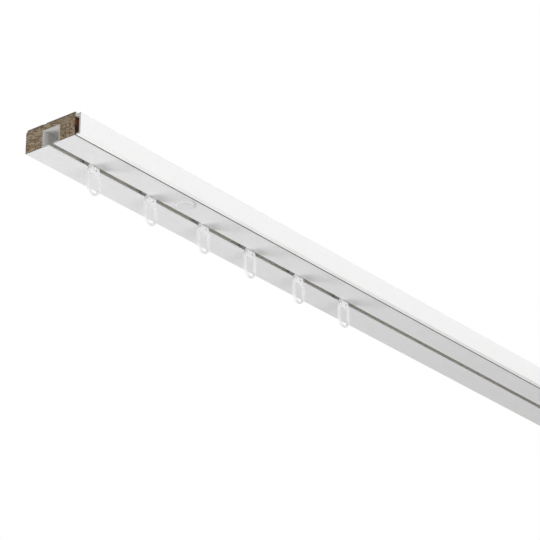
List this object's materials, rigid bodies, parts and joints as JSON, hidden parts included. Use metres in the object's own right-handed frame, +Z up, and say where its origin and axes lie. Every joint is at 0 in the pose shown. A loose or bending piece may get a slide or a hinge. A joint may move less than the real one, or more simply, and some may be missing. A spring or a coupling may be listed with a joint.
{
  "type": "ceiling curtain track",
  "caption": "Ceiling curtain track: white foil-wrapped chipboard board with a fascia, an inset running channel and wheeled rollers whose loops take curtain hooks.",
  "frame": {"origin": "middle of the top face, which lies against the ceiling", "axes": "+X along the track away from the end where the rollers stand, +Y towards the back, away from the fascia, +Z up into the ceiling"},
  "size_m": [1.2, 0.05, 0.0389],
  "materials": {
    "chipboard": "raw sawn particle board",
    "backing": "dark backing paper",
    "foil": "white decor foil, satin",
    "channel_plastic": "white extruded plastic",
    "fascia_plastic": "white extruded plastic, satin gloss",
    "cap_plastic": "white moulded plastic",
    "carrier_plastic": "milky moulded plastic",
    "wheel_plastic": "white moulded plastic",
    "axle_steel": "bright zinc plated"
  },
  "bodies": {
    "track": {"chipboard_core": "chipboard", "top_backing": "backing", "foil_front_strip": "foil", "foil_back_wrap": "foil", "running_channel": "channel_plastic", "fascia": "fascia_plastic", "cover_cap_near": "cap_plastic", "cover_cap_middle": "cap_plastic", "cover_cap_far": "cap_plastic"},
    "axle_1": {"axle_pin_1": "axle_steel"},
    "hanger_1": {"carrier_1": "carrier_plastic"},
    "front_wheel_1": {"wheel_front_1": "wheel_plastic"},
    "back_wheel_1": {"wheel_back_1": "wheel_plastic"},
    "axle_2": {"axle_pin_2": "axle_steel"},
    "hanger_2": {"carrier_2": "carrier_plastic"},
    "front_wheel_2": {"wheel_front_2": "wheel_plastic"},
    "back_wheel_2": {"wheel_back_2": "wheel_plastic"},
    "axle_3": {"axle_pin_3": "axle_steel"},
    "hanger_3": {"carrier_3": "carrier_plastic"},
    "front_wheel_3": {"wheel_front_3": "wheel_plastic"},
    "back_wheel_3": {"wheel_back_3": "wheel_plastic"},
    "axle_4": {"axle_pin_4": "axle_steel"},
    "hanger_4": {"carrier_4": "carrier_plastic"},
    "front_wheel_4": {"wheel_front_4": "wheel_plastic"},
    "back_wheel_4": {"wheel_back_4": "wheel_plastic"},
    "axle_5": {"axle_pin_5": "axle_steel"},
    "hanger_5": {"carrier_5": "carrier_plastic"},
    "front_wheel_5": {"wheel_front_5": "wheel_plastic"},
    "back_wheel_5": {"wheel_back_5": "wheel_plastic"},
    "axle_6": {"axle_pin_6": "axle_steel"},
    "hanger_6": {"carrier_6": "carrier_plastic"},
    "front_wheel_6": {"wheel_front_6": "wheel_plastic"},
    "back_wheel_6": {"wheel_back_6": "wheel_plastic"}
  },
  "joints": [
    {"name": "slide_1", "type": "slide", "parent": "track", "child": "axle_1", "axis": [1, 0, 0], "range_m": [-0.0363, 0.0459]},
    {"name": "swing_1", "type": "hinge", "parent": "axle_1", "child": "hanger_1", "pos_m": [-0.5567, -0.0009, -0.0121], "axis": [0, 1, 0], "range_deg": [-15, 15]},
    {"name": "front_spin_1", "type": "hinge", "parent": "axle_1", "child": "front_wheel_1", "pos_m": [-0.5567, -0.0048, -0.0121], "axis": [0, 1, 0], "continuous": true},
    {"name": "back_spin_1", "type": "hinge", "parent": "axle_1", "child": "back_wheel_1", "pos_m": [-0.5567, 0.003, -0.0121], "axis": [0, 1, 0], "continuous": true},
    {"name": "slide_2", "type": "slide", "parent": "track", "child": "axle_2", "axis": [1, 0, 0], "range_m": [-0.0459, 0.0441]},
    {"name": "swing_2", "type": "hinge", "parent": "axle_2", "child": "hanger_2", "pos_m": [-0.4972, -0.0009, -0.0121], "axis": [0, 1, 0], "range_deg": [-15, 15]},
    {"name": "front_spin_2", "type": "hinge", "parent": "axle_2", "child": "front_wheel_2", "pos_m": [-0.4972, -0.0048, -0.0121], "axis": [0, 1, 0], "continuous": true},
    {"name": "back_spin_2", "type": "hinge", "parent": "axle_2", "child": "back_wheel_2", "pos_m": [-0.4972, 0.003, -0.0121], "axis": [0, 1, 0], "continuous": true},
    {"name": "slide_3", "type": "slide", "parent": "track", "child": "axle_3", "axis": [1, 0, 0], "range_m": [-0.0441, 0.0394]},
    {"name": "swing_3", "type": "hinge", "parent": "axle_3", "child": "hanger_3", "pos_m": [-0.4395, -0.0009, -0.0121], "axis": [0, 1, 0], "range_deg": [-15, 15]},
    {"name": "front_spin_3", "type": "hinge", "parent": "axle_3", "child": "front_wheel_3", "pos_m": [-0.4395, -0.0048, -0.0121], "axis": [0, 1, 0], "continuous": true},
    {"name": "back_spin_3", "type": "hinge", "parent": "axle_3", "child": "back_wheel_3", "pos_m": [-0.4395, 0.003, -0.0121], "axis": [0, 1, 0], "continuous": true},
    {"name": "slide_4", "type": "slide", "parent": "track", "child": "axle_4", "axis": [1, 0, 0], "range_m": [-0.0394, 0.0439]},
    {"name": "swing_4", "type": "hinge", "parent": "axle_4", "child": "hanger_4", "pos_m": [-0.3865, -0.0009, -0.0121], "axis": [0, 1, 0], "range_deg": [-15, 15]},
    {"name": "front_spin_4", "type": "hinge", "parent": "axle_4", "child": "front_wheel_4", "pos_m": [-0.3865, -0.0048, -0.0121], "axis": [0, 1, 0], "continuous": true},
    {"name": "back_spin_4", "type": "hinge", "parent": "axle_4", "child": "back_wheel_4", "pos_m": [-0.3865, 0.003, -0.0121], "axis": [0, 1, 0], "continuous": true},
    {"name": "slide_5", "type": "slide", "parent": "track", "child": "axle_5", "axis": [1, 0, 0], "range_m": [-0.0439, 0.0422]},
    {"name": "swing_5", "type": "hinge", "parent": "axle_5", "child": "hanger_5", "pos_m": [-0.329, -0.0009, -0.0121], "axis": [0, 1, 0], "range_deg": [-15, 15]},
    {"name": "front_spin_5", "type": "hinge", "parent": "axle_5", "child": "front_wheel_5", "pos_m": [-0.329, -0.0048, -0.0121], "axis": [0, 1, 0], "continuous": true},
    {"name": "back_spin_5", "type": "hinge", "parent": "axle_5", "child": "back_wheel_5", "pos_m": [-0.329, 0.003, -0.0121], "axis": [0, 1, 0], "continuous": true},
    {"name": "slide_6", "type": "slide", "parent": "track", "child": "axle_6", "axis": [1, 0, 0], "range_m": [-0.0422, 0.8662]},
    {"name": "swing_6", "type": "hinge", "parent": "axle_6", "child": "hanger_6", "pos_m": [-0.2732, -0.0009, -0.0121], "axis": [0, 1, 0], "range_deg": [-15, 15]},
    {"name": "front_spin_6", "type": "hinge", "parent": "axle_6", "child": "front_wheel_6", "pos_m": [-0.2732, -0.0048, -0.0121], "axis": [0, 1, 0], "continuous": true},
    {"name": "back_spin_6", "type": "hinge", "parent": "axle_6", "child": "back_wheel_6", "pos_m": [-0.2732, 0.003, -0.0121], "axis": [0, 1, 0], "continuous": true}
  ],
  "couplings": [
    {"joint": "front_spin_1", "follows": "slide_1", "rad_per_m": 208.33},
    {"joint": "back_spin_1", "follows": "slide_1", "rad_per_m": 208.33},
    {"joint": "front_spin_2", "follows": "slide_2", "rad_per_m": 208.33},
    {"joint": "back_spin_2", "follows": "slide_2", "rad_per_m": 208.33},
    {"joint": "front_spin_3", "follows": "slide_3", "rad_per_m": 208.33},
    {"joint": "back_spin_3", "follows": "slide_3", "rad_per_m": 208.33},
    {"joint": "front_spin_4", "follows": "slide_4", "rad_per_m": 208.33},
    {"joint": "back_spin_4", "follows": "slide_4", "rad_per_m": 208.33},
    {"joint": "front_spin_5", "follows": "slide_5", "rad_per_m": 208.33},
    {"joint": "back_spin_5", "follows": "slide_5", "rad_per_m": 208.33},
    {"joint": "front_spin_6", "follows": "slide_6", "rad_per_m": 208.33},
    {"joint": "back_spin_6", "follows": "slide_6", "rad_per_m": 208.33}
  ]
}
